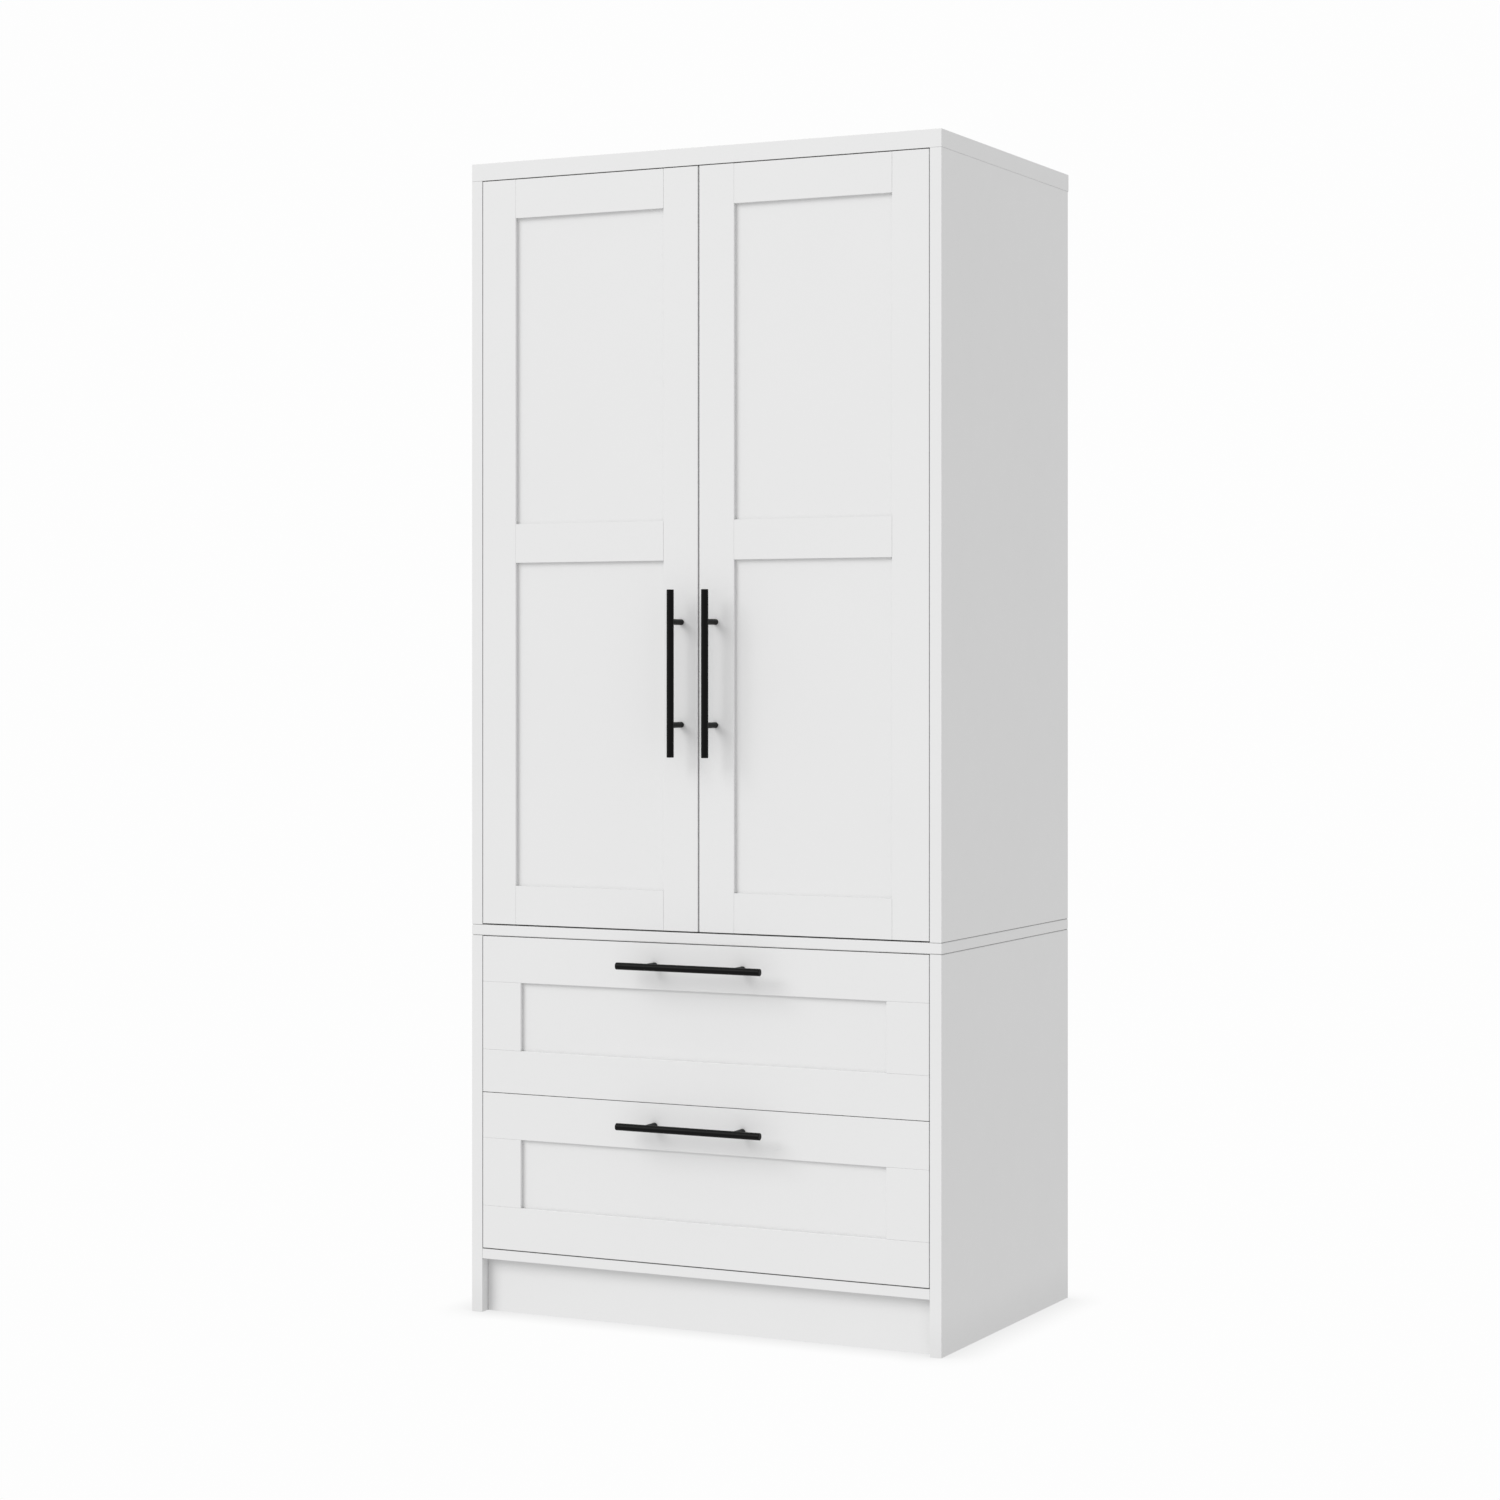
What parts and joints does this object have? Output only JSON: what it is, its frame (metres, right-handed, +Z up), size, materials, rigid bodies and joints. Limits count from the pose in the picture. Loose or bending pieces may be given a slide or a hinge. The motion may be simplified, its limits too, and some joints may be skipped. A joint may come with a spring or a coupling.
{
  "type": "armoire",
  "caption": "Tall white armoire: paired inset frame-and-panel doors over full-width framed drawers, slim black bar pulls and a recessed plinth.",
  "frame": {"origin": "on the floor, under the middle of the whole box, handles included", "axes": "+Z up, +X towards the viewer's right when facing the doors, -Y out of the front"},
  "size_m": [0.8, 0.562, 1.8],
  "materials": {
    "painted_board": "satin white paint film over smooth fibreboard",
    "white_hardboard": "thin hardboard with a printed white face",
    "black_metal": "fine matte black powder coat",
    "zinc_steel": "bright zinc plate",
    "chromed_steel": "polished chrome plate"
  },
  "bodies": {
    "carcass": {"top_panel": "painted_board", "upper_side_left": "painted_board", "upper_side_right": "painted_board", "middle_panel": "painted_board", "lower_side_left": "painted_board", "lower_side_right": "painted_board", "bottom_panel": "painted_board", "plinth": "painted_board", "back_panel": "white_hardboard", "clothes_rod": "chromed_steel", "rod_socket_left": "chromed_steel", "rod_socket_right": "chromed_steel", "left_hinge_arm_lower": "zinc_steel", "left_hinge_arm_middle": "zinc_steel", "left_hinge_arm_upper": "zinc_steel", "right_hinge_arm_lower": "zinc_steel", "right_hinge_arm_middle": "zinc_steel", "right_hinge_arm_upper": "zinc_steel", "upper_drawer_slide_channel_left": "zinc_steel", "upper_drawer_slide_channel_right": "zinc_steel", "lower_drawer_slide_channel_left": "zinc_steel", "lower_drawer_slide_channel_right": "zinc_steel"},
    "left_door": {"left_door_hinge_stile": "painted_board", "left_door_inner_stile": "painted_board", "left_door_top_rail": "painted_board", "left_door_middle_rail": "painted_board", "left_door_bottom_rail": "painted_board", "left_door_panel": "painted_board", "left_door_handle": "black_metal", "left_hinge_cup_lower": "zinc_steel", "left_hinge_cup_middle": "zinc_steel", "left_hinge_cup_upper": "zinc_steel"},
    "right_door": {"right_door_hinge_stile": "painted_board", "right_door_inner_stile": "painted_board", "right_door_top_rail": "painted_board", "right_door_middle_rail": "painted_board", "right_door_bottom_rail": "painted_board", "right_door_panel": "painted_board", "right_door_handle": "black_metal", "right_hinge_cup_lower": "zinc_steel", "right_hinge_cup_middle": "zinc_steel", "right_hinge_cup_upper": "zinc_steel"},
    "upper_drawer": {"upper_drawer_front_frame": "painted_board", "upper_drawer_front_panel": "painted_board", "upper_drawer_handle": "black_metal", "upper_drawer_side_left": "painted_board", "upper_drawer_side_right": "painted_board", "upper_drawer_back": "painted_board", "upper_drawer_bottom": "white_hardboard", "upper_drawer_slide_runner_left": "zinc_steel", "upper_drawer_slide_runner_right": "zinc_steel"},
    "lower_drawer": {"lower_drawer_front_frame": "painted_board", "lower_drawer_front_panel": "painted_board", "lower_drawer_handle": "black_metal", "lower_drawer_side_left": "painted_board", "lower_drawer_side_right": "painted_board", "lower_drawer_back": "painted_board", "lower_drawer_bottom": "white_hardboard", "lower_drawer_slide_runner_left": "zinc_steel", "lower_drawer_slide_runner_right": "zinc_steel"}
  },
  "joints": [
    {"name": "left_door_hinge", "type": "hinge", "parent": "carcass", "child": "left_door", "pos_m": [-0.3805, -0.239, 1.19], "axis": [0, 0, -1], "range_deg": [0, 105]},
    {"name": "right_door_hinge", "type": "hinge", "parent": "carcass", "child": "right_door", "pos_m": [0.3805, -0.239, 1.19], "axis": [0, 0, 1], "range_deg": [0, 105]},
    {"name": "upper_drawer_slide", "type": "slide", "parent": "carcass", "child": "upper_drawer", "axis": [0, -1, 0], "range_m": [0, 0.34]},
    {"name": "lower_drawer_slide", "type": "slide", "parent": "carcass", "child": "lower_drawer", "axis": [0, -1, 0], "range_m": [0, 0.34]}
  ]
}
